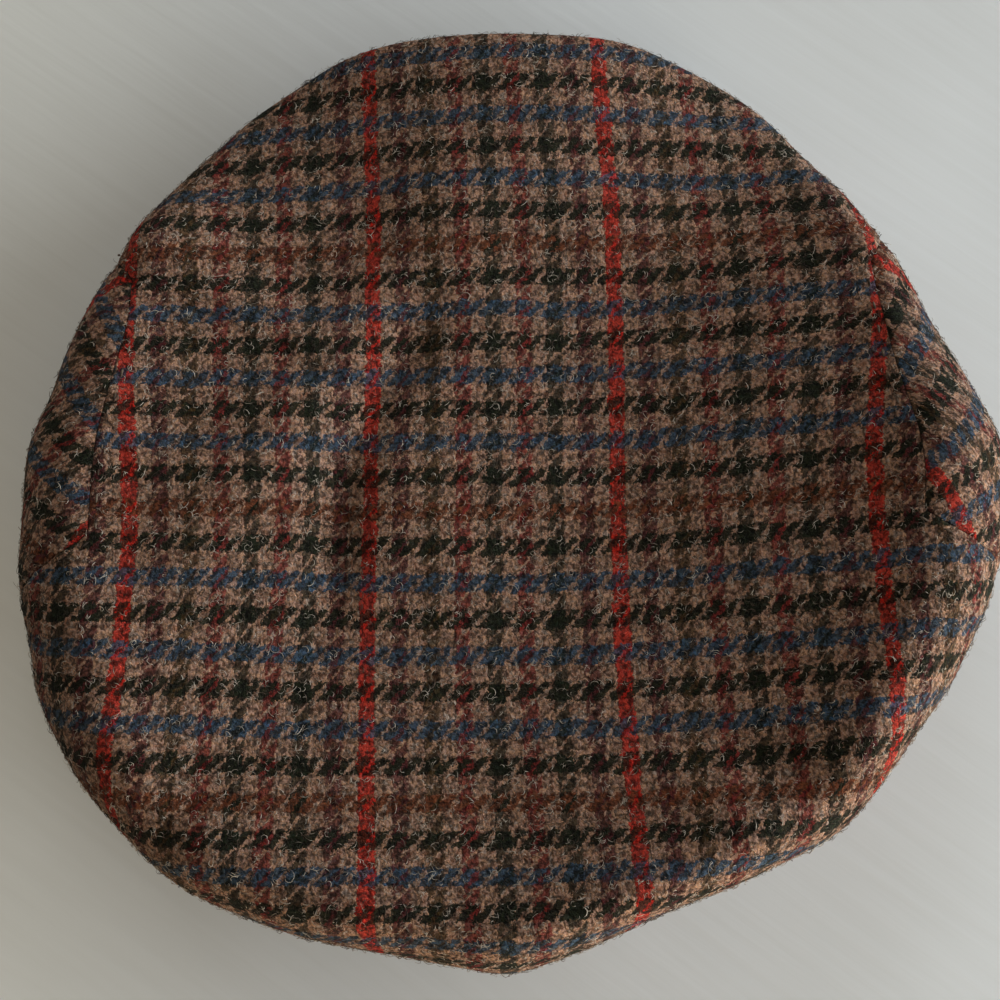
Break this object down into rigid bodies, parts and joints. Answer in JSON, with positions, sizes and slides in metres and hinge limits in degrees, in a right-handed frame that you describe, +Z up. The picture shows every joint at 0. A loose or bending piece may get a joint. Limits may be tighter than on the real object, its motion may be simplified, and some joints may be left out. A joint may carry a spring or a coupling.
{
  "type": "flat cap",
  "caption": "Soft checked tweed flat cap lying on its head opening: sunken crown with a rounded rim over side panels and a short stiff peak tucked under its front.",
  "frame": {"origin": "middle of the cap's outline in plan, on the surface that the head opening's hem rests on", "axes": "+Z up, +Y towards the peak at the front, +X to the wearer's right"},
  "size_m": [0.2624, 0.2523, 0.0608],
  "materials": {
    "tweed_top": "woollen tweed in a brown, green, blue and red gun-club check, napped",
    "tweed_side": "the same tweed, cut on the bias",
    "tweed_peak": "the same tweed over a stiff board"
  },
  "bodies": {
    "root": {"top_panel": "tweed_top", "left_side_panel": "tweed_side", "right_side_panel": "tweed_side", "peak": "tweed_peak"}
  },
  "joints": []
}
